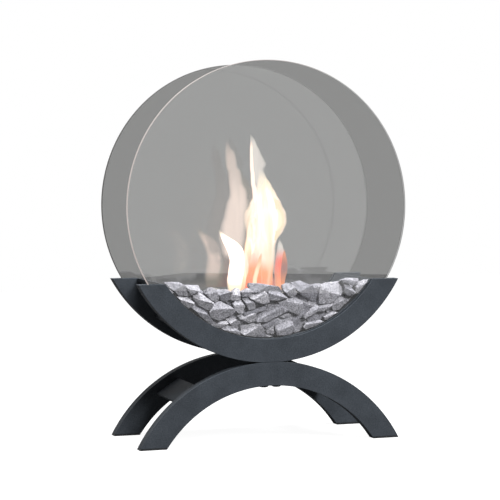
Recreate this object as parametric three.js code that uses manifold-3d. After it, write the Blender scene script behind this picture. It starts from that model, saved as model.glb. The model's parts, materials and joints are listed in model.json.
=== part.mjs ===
// Bioethanol fireplace: a steel bowl of two arc bands on a pair of matching arched legs, with a round
// glass disc standing in each bowl band and a burner set in a bed of crushed stone between them.
// Millimetres, +Z up. The origin is on the floor, midway between the four feet; the front faces -Y.

import * as THREE from 'three';
import { mergeVertices } from 'three/addons/utils/BufferGeometryUtils.js';
import Module from 'manifold-3d';

const wasm = await Module();
wasm.setup();

// ---------------------------------------------------------------------------------------------
// Driving dimensions
// ---------------------------------------------------------------------------------------------

const fitGap = 0.3;               // clearance between pieces that seat on or in each other
const past = 4;                   // how far a cut runs on past the piece it cuts

// Glass discs and the silicone seats that they stand in
const glassRadius = 188;
const glassThickness = 5;
const glassEdgeChamfer = 0.6;
const seatWall = 0.9;
const seatFloor = 2.4;
const seatHeight = 12.5;          // radial height of the seat's two lips

// Bowl bands: two arcs round the glass, open at the top
const bowlBackWall = 9;           // steel outside the slot that holds the glass
const bowlBandWidth = 30;         // radial width of the band's front face
const bowlHeight = 104;           // from the bowl's lowest point to its rim
const bandDepth = 16;             // front to back, the same on bowl and legs
const bandSpacing = 136;          // from the front band's front face to the rear band's front face

// Legs: two arches, the bowl bands turned over with small differences
const legRadiusLess = 1.5;        // the legs' outer radius is this much less than the bowl's
const legBandMore = 0.5;          // and their front face this much wider
const legHeightMore = 2;          // and their height from the floor this much more
const legWall = 2;                // sheet of the hollow arches
const seatFlat = 0.4;             // how far each arc is flattened where the bowl stands on the legs

// Foot inserts in the open ends of the legs
const footSole = 2;
const footPlugHeight = 12;

// Flat bars that tie each front arc to the rear one
const tieBarWidth = 36;
const tieBarThickness = 4;
const tieBarInset = 11;           // from the arc's outer edge to the bar's outer face
const tieBarAngle = 33;           // degrees to either side of the vertical

// Screws that hold the bowl on the legs
const screwRadius = 3;
const screwHoleClearance = 0.3;
const screwSpacing = 17;          // between the two screws of one band
const screwHeadRadius = 5.25;
const screwHeadHeight = 3.3;
const screwSocketRadius = 2.3;    // corner radius of the hexagon socket
const screwSocketDepth = 2;
const screwCrown = 1.2;           // rounding of the button head
const screwPoint = 1;             // chamfer at the screw's tip
const screwBite = 6.5;            // depth of the screw in the bowl band
const washerRadius = 6.2;
const washerThickness = 1.2;

// Curved sheet that holds the stones, flush with the inside of the bands
const troughSheet = 1.5;

// Burner
const burnerLength = 110;
const burnerWidth = 76;
const burnerHeight = 43;
const burnerSheet = 1.5;
const burnerCoverSkirt = 6;
const burnerSlotLength = 86;
const burnerSlotWidth = 30;
const burnerSlotRearMargin = 5;   // from the cover's rear edge to the slot
const woolDepthBelowSlot = 8;     // the absorbent block ends this far below the cover
const cradleSheet = 1.5;
const cradlePlay = 1;             // all round the burner, so that it lifts out
const cradleUpstand = 8;

// Sliding lid that sets and puts out the flame
const lidThickness = 1.5;
const lidOverlap = 2.5;           // how far the lid covers the cover plate round the slot
const lidRunningGap = 0.4;
const railWeb = 1.5;
const railLip = 3.5;
const railLipThickness = 1.2;
const knobRadius = 5;
const knobStemRadius = 2.2;
const knobHeight = 6;
const knobEdge = 1;               // chamfer round the knob's head

// Bed of crushed stone
const stonePitch = 27;            // mean distance between two stones
const stoneBedBelowRim = 9;       // top of the stones in the middle of the bed
const stoneBedRise = 11;          // how much higher the bed lies at its two ends
const stoneBurnerPlay = 2;        // kept free round the burner
const stoneJitter = 0.22;         // how far a stone lies off its even place, in pitches
const stoneBite = 0.8;            // how far two stones of one heap run into each other
const stoneUneven = 0.12;         // how far the bed's top is up or down, in pitches
const stoneSmallest = 1.15;       // least and greatest size of a stone's rough block, in pitches
const stoneLargest = 1.5;
const stoneCorners = 7;           // broken corners tried on each stone
const stoneSeed = 20;

// ---------------------------------------------------------------------------------------------
// Derived places
// ---------------------------------------------------------------------------------------------

const halfDepth = (bandSpacing + bandDepth) / 2;
const innerFace = halfDepth - bandDepth;            // the bands' faces that look at each other
const bandMiddle = halfDepth - bandDepth / 2;
const bridge = innerFace - fitGap;                  // half length of what spans between the bands

const slotFloorRadius = glassRadius + fitGap + seatFloor + fitGap;
const slotHalfWidth = glassThickness / 2 + fitGap + seatWall + fitGap;
const bowlOuterRadius = slotFloorRadius + bowlBackWall;
const bowlInnerRadius = bowlOuterRadius - bowlBandWidth;
const bowlCutDepth = bowlOuterRadius - bowlHeight;

const legOuterRadius = bowlOuterRadius - legRadiusLess;
const legBandWidth = bowlBandWidth + legBandMore;
const legInnerRadius = legOuterRadius - legBandWidth;
const legCutHeight = legOuterRadius - bowlHeight - legHeightMore;
const legCentre = -legCutHeight;
const legTop = legCentre + legOuterRadius - seatFlat;

const bowlBottom = legTop + fitGap;
const bowlCentre = bowlBottom + bowlOuterRadius - seatFlat;
const bowlRim = bowlCentre - bowlCutDepth;
const screwHoleRadius = screwRadius + screwHoleClearance;

const tankHalfLength = burnerLength / 2;
const tankHalfWidth = burnerWidth / 2;
const cradleHalfLength = tankHalfLength + cradlePlay + cradleSheet;
const cradleHalfWidth = tankHalfWidth + cradlePlay + cradleSheet;
const cradleBottom = bowlCentre - Math.sqrt((bowlInnerRadius - fitGap) ** 2 - cradleHalfLength ** 2);
const tankBottom = cradleBottom + cradleSheet + fitGap;
const tankTop = tankBottom + burnerHeight;
const coverHalfLength = tankHalfLength + fitGap + burnerSheet;
const coverHalfWidth = tankHalfWidth + fitGap + burnerSheet;
const coverTop = tankTop + fitGap + burnerSheet;
const slotBack = coverHalfWidth - burnerSlotRearMargin;
const slotFront = slotBack - burnerSlotWidth;
const lidHalfLength = burnerSlotLength / 2 + lidOverlap;
const lidWidth = burnerSlotWidth + 2 * lidOverlap;
const lidFront = slotFront - fitGap - lidWidth;     // at rest the lid is parked in front of the slot
const lidBottom = coverTop + fitGap;
const lidTop = lidBottom + lidThickness;

const stoneFront = bandMiddle - glassThickness / 2 - fitGap;
const burnerFreeLength = Math.max(coverHalfLength, cradleHalfLength) + stoneBurnerPlay;
const burnerFreeWidth = Math.max(coverHalfWidth, cradleHalfWidth) + stoneBurnerPlay;

// Fineness of the curved outlines
const arcSteps = 48;
const discSteps = 96;
const roundSteps = 16;

// ---------------------------------------------------------------------------------------------
// Materials
// ---------------------------------------------------------------------------------------------

function finish(color, roughness, metalness, extra = {}) {
  return new THREE.MeshStandardMaterial({ color, roughness, metalness, ...extra });
}

const materials = {
  coatedSteel: finish('#42474d', 0.55, 0.3),
  glass: finish('#c9cecd', 0.05, 0, { transparent: true, opacity: 0.3 }),
  silicone: finish('#1b1c1e', 0.8, 0),
  footPlastic: finish('#17181a', 0.7, 0),
  screwSteel: finish('#8d9093', 0.35, 0.9),
  stainless: finish('#b4b6b6', 0.3, 0.95),
  wool: finish('#e6e2d8', 0.95, 0),
  stone: finish('#a7a6a9', 0.9, 0),
};

// ---------------------------------------------------------------------------------------------
// Shape helpers
// ---------------------------------------------------------------------------------------------

function toSolid(geometry) {
  const bare = geometry.clone();
  bare.deleteAttribute('normal');
  bare.deleteAttribute('uv');
  const merged = mergeVertices(bare, 1e-4);
  return new wasm.Manifold(new wasm.Mesh({
    numProp: 3,
    vertProperties: Float32Array.from(merged.attributes.position.array),
    triVerts: Uint32Array.from(merged.index.array),
  }));
}

function toGeometry(solid) {
  const mesh = solid.getMesh();
  const geometry = new THREE.BufferGeometry();
  geometry.setAttribute('position', new THREE.BufferAttribute(Float32Array.from(mesh.vertProperties), 3));
  geometry.setIndex(new THREE.BufferAttribute(Uint32Array.from(mesh.triVerts), 1));
  return geometry;
}

// A flat outline in X and Z, given as [x, z] pairs, as thick as from one Y to the other.
function slab(outline, yFront, yBack) {
  const shape = new THREE.Shape(outline.map(([x, z]) => new THREE.Vector2(x, z)));
  const geometry = new THREE.ExtrudeGeometry(shape, { depth: yBack - yFront, bevelEnabled: false });
  geometry.rotateX(Math.PI / 2);
  geometry.translate(0, yBack, 0);
  return geometry;
}

function box(x0, x1, y0, y1, z0, z1) {
  const geometry = new THREE.BoxGeometry(x1 - x0, y1 - y0, z1 - z0);
  geometry.translate((x0 + x1) / 2, (y0 + y1) / 2, (z0 + z1) / 2);
  return geometry;
}

// A solid of revolution about a vertical axis through (x, y); the profile is [radius, z] pairs.
function turned(profile, x, y, steps = roundSteps) {
  const points = profile.map(([radius, z]) => new THREE.Vector2(radius, z));
  const geometry = new THREE.LatheGeometry(points, steps);
  geometry.rotateX(Math.PI / 2);
  geometry.translate(x, y, 0);
  return geometry;
}

function upright(radius, x, y, z0, z1, steps = roundSteps) {
  const geometry = new THREE.CylinderGeometry(radius, radius, z1 - z0, steps);
  geometry.rotateX(Math.PI / 2);
  geometry.translate(x, y, (z0 + z1) / 2);
  return geometry;
}

// Points of a circular arc that is cut off at a height above its centre, from right to left.
function cutArc(radius, cut, steps) {
  const start = Math.asin(cut / radius);
  const sweep = Math.PI - 2 * start;
  return Array.from({ length: steps + 1 }, (_, i) => {
    const angle = start + sweep * i / steps;
    return [radius * Math.cos(angle), radius * Math.sin(angle)];
  });
}

// Outline of an arch between two radii. `way` is 1 for an arch and -1 for a bowl.
function archOutline(inner, outer, cut, centre, way, flat = 0, steps = arcSteps) {
  const outside = cutArc(outer, cut, steps).map(([x, z]) => [x, Math.min(z, outer - flat)]);
  const inside = cutArc(inner, cut, steps).reverse();
  return [...outside, ...inside].map(([x, z]) => [x, centre + way * z]);
}

const group = new THREE.Group();

function addPiece(name, geometry, material) {
  const mesh = new THREE.Mesh(geometry, material);
  mesh.name = name;
  group.add(mesh);
  return mesh;
}

const sides = [['front', -1], ['rear', 1]];
const hands = [['left', -1], ['right', 1]];
const screwNumbers = [[1, -1], [2, 1]];

// ---------------------------------------------------------------------------------------------
// Bowl
// ---------------------------------------------------------------------------------------------

// One bowl band, with the slot for the glass in its inside and two screw holes in its seat.
function bowlBand(way) {
  const middle = way * bandMiddle;
  const outline = archOutline(bowlInnerRadius, bowlOuterRadius, bowlCutDepth, bowlCentre, -1, seatFlat);
  let band = toSolid(slab(outline, middle - bandDepth / 2, middle + bandDepth / 2));
  const slot = archOutline(bowlInnerRadius - past, slotFloorRadius, bowlCutDepth - past, bowlCentre, -1);
  band = band.subtract(toSolid(slab(slot, middle - slotHalfWidth, middle + slotHalfWidth)));
  for (const [, hand] of screwNumbers) {
    const x = hand * screwSpacing / 2;
    const hole = upright(screwHoleRadius, x, middle, bowlBottom - past, bowlBottom + screwBite + fitGap);
    band = band.subtract(toSolid(hole));
  }
  return toGeometry(band);
}

// The silicone profile at the bottom of the slot: a floor and two lips, bent to the band's arc.
function glassSeat(way) {
  const middle = way * bandMiddle;
  const outer = slotFloorRadius - fitGap;
  const inner = glassRadius + fitGap;
  const cut = bowlCutDepth + fitGap;
  const outline = archOutline(outer - seatHeight, outer, cut, bowlCentre, -1);
  const halfWidth = slotHalfWidth - fitGap;
  const halfGroove = glassThickness / 2 + fitGap;
  const body = toSolid(slab(outline, middle - halfWidth, middle + halfWidth));
  const groove = archOutline(outer - seatHeight - past, inner, cut - past, bowlCentre, -1);
  return toGeometry(body.subtract(toSolid(slab(groove, middle - halfGroove, middle + halfGroove))));
}

function glassDisc() {
  const half = glassThickness / 2;
  const land = glassRadius - glassEdgeChamfer;
  const profile = [
    new THREE.Vector2(0, -half),
    new THREE.Vector2(land, -half),
    new THREE.Vector2(glassRadius, -half + glassEdgeChamfer),
    new THREE.Vector2(glassRadius, half - glassEdgeChamfer),
    new THREE.Vector2(land, half),
    new THREE.Vector2(0, half),
  ];
  return new THREE.LatheGeometry(profile, discSteps);
}

// A flat bar between front and rear arc, square to the arc's radius.
function tieBar(name, centre, arcRadius, hand, up) {
  const geometry = new THREE.BoxGeometry(tieBarWidth, 2 * bridge, tieBarThickness);
  const radius = arcRadius - tieBarInset - tieBarThickness / 2;
  const angle = THREE.MathUtils.degToRad(tieBarAngle);
  const bar = addPiece(name, geometry, materials.coatedSteel);
  bar.position.set(hand * radius * Math.sin(angle), 0, centre + up * radius * Math.cos(angle));
  bar.rotation.y = hand * up * angle;
}

for (const [side, way] of sides) {
  addPiece(`bowl_band_${side}`, bowlBand(way), materials.coatedSteel);
  addPiece(`glass_seat_${side}`, glassSeat(way), materials.silicone);
  const disc = addPiece(`glass_disc_${side}`, glassDisc(), materials.glass);
  disc.position.set(0, way * bandMiddle, bowlCentre);
}

const troughOuter = bowlInnerRadius + troughSheet;
const troughOutline = archOutline(bowlInnerRadius, troughOuter, bowlCutDepth, bowlCentre, -1);
addPiece('stone_trough', slab(troughOutline, -bridge, bridge), materials.coatedSteel);

for (const [side, hand] of hands) {
  tieBar(`bowl_tie_bar_${side}`, bowlCentre, bowlOuterRadius, hand, -1);
  tieBar(`leg_tie_bar_${side}`, legCentre, legOuterRadius, hand, 1);
}

// ---------------------------------------------------------------------------------------------
// Legs
// ---------------------------------------------------------------------------------------------

// A hollow arch of folded sheet, open at its two feet, with screw holes through its crown.
function legArch(way) {
  const middle = way * bandMiddle;
  const cut = legCutHeight + footSole + fitGap;
  const outline = archOutline(legInnerRadius, legOuterRadius, cut, legCentre, 1, seatFlat);
  let arch = toSolid(slab(outline, middle - bandDepth / 2, middle + bandDepth / 2));
  const [inner, outer] = [legInnerRadius + legWall, legOuterRadius - legWall];
  const hollow = archOutline(inner, outer, cut - past, legCentre, 1, seatFlat);
  const halfHollow = bandDepth / 2 - legWall;
  arch = arch.subtract(toSolid(slab(hollow, middle - halfHollow, middle + halfHollow)));
  for (const [, hand] of screwNumbers) {
    const x = hand * screwSpacing / 2;
    const hole = upright(screwHoleRadius, x, middle, legTop - legBandWidth - past, legTop + past);
    arch = arch.subtract(toSolid(hole));
  }
  return toGeometry(arch);
}

// The part of a leg's end between two heights above the floor, narrowed by a margin on both sides.
function legEndOutline(hand, low, high, margin) {
  const steps = 4;
  const edge = (radius) => Array.from({ length: steps + 1 }, (_, i) => {
    const z = low + (high - low) * i / steps;
    return [hand * Math.sqrt(radius ** 2 - (z - legCentre) ** 2), z];
  });
  return [...edge(legOuterRadius - margin), ...edge(legInnerRadius + margin).reverse()];
}

// A plastic insert: a sole as wide as the leg and a plug that fills the hollow above it.
function footInsert(way, hand) {
  const middle = way * bandMiddle;
  const plugMargin = legWall + fitGap;
  const plugHalf = bandDepth / 2 - plugMargin;
  const sole = slab(legEndOutline(hand, 0, footSole, 0), middle - bandDepth / 2, middle + bandDepth / 2);
  const plugOutline = legEndOutline(hand, footSole / 2, footSole + footPlugHeight, plugMargin);
  return toGeometry(toSolid(sole).add(toSolid(slab(plugOutline, middle - plugHalf, middle + plugHalf))));
}

// The arch's inside is round, so the washers seat at the height of its outermost point under them.
const washerReach = screwSpacing / 2 + washerRadius;
const washerTop = legCentre + Math.sqrt(legInnerRadius ** 2 - washerReach ** 2) - fitGap;
const washerBottom = washerTop - washerThickness;

function clampWasher(x, y) {
  const hole = screwHoleRadius;
  const profile = [[hole, washerBottom], [washerRadius, washerBottom], [washerRadius, washerTop],
    [hole, washerTop], [hole, washerBottom]];
  return turned(profile, x, y);
}

function clampScrew(x, y) {
  const headTop = washerBottom - fitGap;
  const headBottom = headTop - screwHeadHeight;
  const tip = bowlBottom + screwBite;
  const profile = [[0, headBottom], [screwHeadRadius - screwCrown, headBottom],
    [screwHeadRadius, headBottom + screwCrown], [screwHeadRadius, headTop], [screwRadius, headTop],
    [screwRadius, tip - screwPoint], [screwRadius - screwPoint, tip], [0, tip]];
  const screw = toSolid(turned(profile, x, y));
  const socket = upright(screwSocketRadius, x, y, headBottom - past, headBottom + screwSocketDepth, 6);
  return toGeometry(screw.subtract(toSolid(socket)));
}

for (const [side, way] of sides) {
  addPiece(`leg_arch_${side}`, legArch(way), materials.coatedSteel);
  for (const [name, hand] of hands) {
    addPiece(`foot_insert_${side}_${name}`, footInsert(way, hand), materials.footPlastic);
  }
  for (const [number, hand] of screwNumbers) {
    const x = hand * screwSpacing / 2;
    addPiece(`clamp_screw_${side}_${number}`, clampScrew(x, way * bandMiddle), materials.screwSteel);
    addPiece(`clamp_washer_${side}_${number}`, clampWasher(x, way * bandMiddle), materials.screwSteel);
  }
}

// ---------------------------------------------------------------------------------------------
// Burner
// ---------------------------------------------------------------------------------------------

// A shallow tray that locates the burner; its two ends seat on the curved trough.
function burnerCradle() {
  const top = cradleBottom + cradleSheet + cradleUpstand;
  const [halfLength, halfWidth] = [cradleHalfLength, cradleHalfWidth];
  const outside = box(-halfLength, halfLength, -halfWidth, halfWidth, cradleBottom, top);
  const pocketLength = halfLength - cradleSheet;
  const pocketWidth = halfWidth - cradleSheet;
  const floor = cradleBottom + cradleSheet;
  const pocket = box(-pocketLength, pocketLength, -pocketWidth, pocketWidth, floor, top + past);
  return toGeometry(toSolid(outside).subtract(toSolid(pocket)));
}

function burnerTank() {
  const outside = box(-tankHalfLength, tankHalfLength, -tankHalfWidth, tankHalfWidth, tankBottom, tankTop);
  const length = tankHalfLength - burnerSheet;
  const width = tankHalfWidth - burnerSheet;
  const inside = box(-length, length, -width, width, tankBottom + burnerSheet, tankTop + past);
  return toGeometry(toSolid(outside).subtract(toSolid(inside)));
}

function burnerCover() {
  const bottom = tankTop + fitGap - burnerCoverSkirt;
  const outside = box(-coverHalfLength, coverHalfLength, -coverHalfWidth, coverHalfWidth, bottom, coverTop);
  const length = coverHalfLength - burnerSheet;
  const width = coverHalfWidth - burnerSheet;
  const inside = box(-length, length, -width, width, bottom - past, coverTop - burnerSheet);
  const half = burnerSlotLength / 2;
  const slot = box(-half, half, slotFront, slotBack, bottom - past, coverTop + past);
  return toGeometry(toSolid(outside).subtract(toSolid(inside)).subtract(toSolid(slot)));
}

function burnerWool() {
  const length = tankHalfLength - burnerSheet - fitGap;
  const width = tankHalfWidth - burnerSheet - fitGap;
  const top = coverTop - burnerSheet - woolDepthBelowSlot;
  return box(-length, length, -width, width, tankBottom + burnerSheet + fitGap, top);
}

// An angle strip beside the lid: a web that stands on the cover and a lip over the lid's edge.
function lidRail(hand) {
  const webInside = lidHalfLength + lidRunningGap;
  const webOutside = webInside + railWeb;
  const lipBottom = lidTop + lidRunningGap;
  const lipTop = lipBottom + railLipThickness;
  const foot = coverTop + fitGap;
  const lipInside = webOutside - railLip;
  const outline = [[webInside, foot], [webOutside, foot], [webOutside, lipTop], [lipInside, lipTop],
    [lipInside, lipBottom], [webInside, lipBottom]];
  return slab(outline.map(([x, z]) => [hand * x, z]), lidFront, slotBack + lidOverlap);
}

addPiece('burner_cradle', burnerCradle(), materials.coatedSteel);
addPiece('burner_tank', burnerTank(), materials.stainless);
addPiece('burner_cover', burnerCover(), materials.stainless);
addPiece('burner_wool', burnerWool(), materials.wool);
addPiece('burner_rail_left', lidRail(-1), materials.stainless);
addPiece('burner_rail_right', lidRail(1), materials.stainless);

const lidBox = box(-lidHalfLength, lidHalfLength, lidFront, lidFront + lidWidth, lidBottom, lidTop);
addPiece('burner_lid', lidBox, materials.stainless);

const knobFoot = lidTop + fitGap;
const knobTop = knobFoot + knobHeight;
const knobNeck = knobFoot + knobHeight / 2;
const knobProfile = [[0, knobFoot], [knobStemRadius, knobFoot], [knobStemRadius, knobNeck],
  [knobRadius - knobEdge, knobNeck],
  [knobRadius, knobNeck + knobEdge], [knobRadius, knobTop - knobEdge], [knobRadius - knobEdge, knobTop],
  [0, knobTop]];
addPiece('burner_lid_knob', turned(knobProfile, 0, lidFront + lidWidth / 2), materials.stainless);

// ---------------------------------------------------------------------------------------------
// Crushed stone
// ---------------------------------------------------------------------------------------------

function randomSource(seed) {
  let state = seed;
  return () => {
    state = (state * 1664525 + 1013904223) % 4294967296;
    return state / 4294967296;
  };
}

const random = randomSource(stoneSeed);
const spread = (low, high) => low + (high - low) * random();

function randomDirection() {
  const z = spread(-1, 1);
  const angle = spread(0, 2 * Math.PI);
  const flat = Math.sqrt(1 - z * z);
  return new THREE.Vector3(flat * Math.cos(angle), flat * Math.sin(angle), z);
}

// All space on the near side of a plane, as a block that is large against the bed.
const blockSize = 6 * bowlOuterRadius;
const blockSolid = toSolid(new THREE.BoxGeometry(blockSize, blockSize, blockSize));

function halfSpace(normal, distance) {
  const turn = new THREE.Quaternion().setFromUnitVectors(new THREE.Vector3(0, 0, 1), normal);
  const centre = normal.clone().multiplyScalar(distance - blockSize / 2);
  const matrix = new THREE.Matrix4().compose(centre, turn, new THREE.Vector3(1, 1, 1));
  return blockSolid.transform(matrix.elements);
}

const bedReach = Math.sqrt(bowlInnerRadius ** 2 - bowlCutDepth ** 2) - fitGap;
const bedTopAt = (x) => bowlRim - stoneBedBelowRim + stoneBedRise * (x / bedReach) ** 2;

// The bed is four blocks round the burner. Each is split into heaps, and each heap is one piece.
function heapsOf(name, xLow, xHigh, yLow, yHigh, columns, rows) {
  const heaps = [];
  for (let column = 0; column < columns; column += 1) {
    for (let row = 0; row < rows; row += 1) {
      const number = column * rows + row + 1;
      heaps.push({
        name: `stones_${name}_${number}`,
        low: [xLow + (xHigh - xLow) * column / columns, yLow + (yHigh - yLow) * row / rows],
        high: [xLow + (xHigh - xLow) * (column + 1) / columns, yLow + (yHigh - yLow) * (row + 1) / rows],
      });
    }
  }
  return heaps;
}

const heaps = [
  ...heapsOf('front', -burnerFreeLength, burnerFreeLength, -stoneFront, -burnerFreeWidth, 4, 1),
  ...heapsOf('rear', -burnerFreeLength, burnerFreeLength, burnerFreeWidth, stoneFront, 4, 1),
  ...heapsOf('left', -bedReach, -burnerFreeLength, -stoneFront, stoneFront, 2, 3),
  ...heapsOf('right', burnerFreeLength, bedReach, -stoneFront, stoneFront, 2, 3),
];

// Stone centres of one heap: a jittered grid, kept inside the trough and under the bed's top.
function stoneCentres(heap) {
  const [xLow, yLow] = heap.low;
  const [xHigh, yHigh] = heap.high;
  const across = Math.max(1, Math.round((xHigh - xLow) / stonePitch));
  const along = Math.max(1, Math.round((yHigh - yLow) / stonePitch));
  const centres = [];
  for (let i = 0; i < across; i += 1) {
    for (let j = 0; j < along; j += 1) {
      const x = xLow + (xHigh - xLow) * (i + 0.5) / across;
      const y = yLow + (yHigh - yLow) * (j + 0.5) / along;
      const floor = bowlCentre - Math.sqrt(bowlInnerRadius ** 2 - x ** 2);
      const top = bedTopAt(x);
      const layers = Math.max(1, Math.round((top - floor) / stonePitch));
      for (let k = 0; k < layers; k += 1) {
        const z = floor + (top - floor) * (k + 0.5) / layers;
        const jitter = stoneJitter * stonePitch;
        centres.push(new THREE.Vector3(
          x + spread(-jitter, jitter),
          y + spread(-jitter, jitter) * (along > 1 ? 1 : 0.4),
          z + spread(-jitter, jitter) * (layers > 1 ? 1 : 0.4),
        ));
      }
    }
  }
  return centres;
}

heaps.forEach((heap) => {
  heap.centres = stoneCentres(heap);
});
const everyStone = heaps.flatMap((heap) => heap.centres.map((centre) => ({ heap, centre })));

// One angular chip round a centre. Stones of the same heap run into each other a little, and
// stones of other heaps keep clear.
function chip({ heap, centre }) {
  const size = () => stonePitch * spread(stoneSmallest, stoneLargest);
  const rough = new THREE.BoxGeometry(size(), size(), size());
  rough.applyQuaternion(new THREE.Quaternion().setFromAxisAngle(randomDirection(), spread(0, Math.PI)));
  rough.translate(centre.x, centre.y, centre.z);
  let solid = toSolid(rough);
  const middles = [];
  for (const other of everyStone) {
    const step = other.centre.clone().sub(centre);
    const distance = step.length();
    if (distance === 0 || distance > 2.4 * stonePitch) continue;
    const normal = step.divideScalar(distance);
    const same = other.heap === heap;
    const reach = normal.dot(centre) + distance / 2 + (same ? stoneBite : -fitGap);
    solid = solid.intersect(halfSpace(normal, reach));
    if (same) middles.push(centre.clone().lerp(other.centre, 0.5));
  }
  for (let i = 0; i < stoneCorners; i += 1) {
    const normal = randomDirection();
    const reach = normal.dot(centre) + stonePitch * spread(0.44, 0.6);
    const margin = 0.12 * stonePitch;
    if (middles.every((middle) => normal.dot(middle) < reach - margin)) {
      solid = solid.intersect(halfSpace(normal, reach));
    }
  }
  const cap = bedTopAt(centre.x) + spread(-stoneUneven, stoneUneven) * stonePitch;
  return solid.intersect(halfSpace(new THREE.Vector3(0, 0, 1), cap));
}

// The room inside the trough, as a round bar along Y.
const roomRadius = bowlInnerRadius - fitGap;
const roomGeometry = new THREE.CylinderGeometry(roomRadius, roomRadius, blockSize, discSteps);
roomGeometry.translate(0, 0, bowlCentre);
const troughRoom = toSolid(roomGeometry);

for (const heap of heaps) {
  const chips = heap.centres.map((centre) => chip({ heap, centre }));
  const heapSolid = chips.reduce((sum, next) => sum.add(next));
  const half = fitGap / 2;
  const [xLow, yLow] = heap.low;
  const [xHigh, yHigh] = heap.high;
  const room = box(xLow + half, xHigh - half, yLow + half, yHigh - half, 0, bowlRim);
  addPiece(heap.name, toGeometry(heapSolid.intersect(toSolid(room)).intersect(troughRoom)), materials.stone);
}

export default group;
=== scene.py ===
"""Looks of a bioethanol fireplace: two coated steel arcs on arched legs, two round glass discs,
a bed of crushed stone and a steel burner with its flames. Metres, +Z up, front faces -Y."""

import json
import math
import random

import bmesh
import bpy
import numpy as np
from mathutils import Matrix, Vector, noise

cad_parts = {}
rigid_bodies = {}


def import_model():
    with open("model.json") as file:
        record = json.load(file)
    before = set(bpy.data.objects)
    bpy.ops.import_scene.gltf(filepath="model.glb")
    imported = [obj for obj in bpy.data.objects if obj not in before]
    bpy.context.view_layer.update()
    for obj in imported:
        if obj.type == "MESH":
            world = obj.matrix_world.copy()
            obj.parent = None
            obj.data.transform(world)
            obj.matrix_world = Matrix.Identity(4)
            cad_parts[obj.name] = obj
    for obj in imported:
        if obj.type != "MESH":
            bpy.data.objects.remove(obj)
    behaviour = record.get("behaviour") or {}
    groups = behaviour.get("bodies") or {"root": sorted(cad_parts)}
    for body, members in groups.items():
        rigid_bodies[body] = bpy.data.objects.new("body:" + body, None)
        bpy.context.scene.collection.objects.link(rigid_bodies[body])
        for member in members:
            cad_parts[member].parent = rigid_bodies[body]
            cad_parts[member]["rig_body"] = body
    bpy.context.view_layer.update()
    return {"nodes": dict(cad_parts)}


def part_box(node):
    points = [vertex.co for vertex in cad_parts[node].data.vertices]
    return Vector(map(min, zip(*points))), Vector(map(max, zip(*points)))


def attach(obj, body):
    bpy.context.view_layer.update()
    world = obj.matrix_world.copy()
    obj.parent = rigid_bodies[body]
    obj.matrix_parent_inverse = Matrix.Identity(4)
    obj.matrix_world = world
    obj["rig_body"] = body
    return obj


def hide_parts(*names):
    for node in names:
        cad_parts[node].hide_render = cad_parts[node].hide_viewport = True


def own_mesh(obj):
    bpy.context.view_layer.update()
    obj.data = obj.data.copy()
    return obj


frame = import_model()

MM = 0.001

# --------------------------------------------------
# Places and sizes in metres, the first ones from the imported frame
# --------------------------------------------------

GLASS_LOW, GLASS_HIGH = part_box("glass_disc_front")
BAND_LOW, BAND_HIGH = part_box("bowl_band_front")
LEG_LOW, LEG_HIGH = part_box("leg_arch_front")
TROUGH_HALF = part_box("stone_trough")[1].y
WOOL_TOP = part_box("burner_wool")[1].z

CENTRE_Z = (GLASS_LOW.z + GLASS_HIGH.z) / 2
GLASS_RADIUS = (GLASS_HIGH.x - GLASS_LOW.x) / 2
GLASS_THICKNESS = GLASS_HIGH.y - GLASS_LOW.y
RIM_Z = BAND_HIGH.z
BOWL_BOTTOM = BAND_LOW.z
BAND_MIDDLE = -(BAND_LOW.y + BAND_HIGH.y) / 2
BAND_HALF_DEPTH = (BAND_HIGH.y - BAND_LOW.y) / 2
LEG_FOOT = LEG_LOW.z
LEG_TOP = LEG_HIGH.z

BOWL_OUTER = 200 * MM
BOWL_INNER = 170 * MM
SLOT_FLOOR = 191 * MM
SLOT_HALF = 4 * MM
LEG_OUTER = 198.5 * MM
LEG_INNER = 168 * MM
LEG_WALL = 2 * MM
LEG_CENTRE = -92.5 * MM
TROUGH_OUTER = 171.5 * MM

# --------------------------------------------------
# Node helpers
# --------------------------------------------------

COLOUR_A, COLOUR_B, COLOUR_MIXED = 6, 7, 2   # a Mix node's sockets once it mixes colours


class Tree:
    """A node tree and short ways to add to it. What feeds a node is a socket, a number or a colour."""

    def __init__(self, tree):
        self.nodes = tree.nodes
        self.links = tree.links

    def feed(self, socket, value):
        if isinstance(value, bpy.types.NodeSocket):
            self.links.new(value, socket)
        elif isinstance(value, tuple):
            socket.default_value = (*value, 1.0)
        else:
            socket.default_value = value

    def mix(self, share, a, b, blend="MIX"):
        node = self.nodes.new("ShaderNodeMix")
        node.data_type = "RGBA"
        node.blend_type = blend
        self.feed(node.inputs["Factor"], share)
        self.feed(node.inputs[COLOUR_A], a)
        self.feed(node.inputs[COLOUR_B], b)
        return node.outputs[COLOUR_MIXED]

    def maths(self, operation, *values):
        node = self.nodes.new("ShaderNodeMath")
        node.operation = operation
        for socket, value in zip(node.inputs, values):
            self.feed(socket, value)
        return node.outputs[0]


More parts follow.
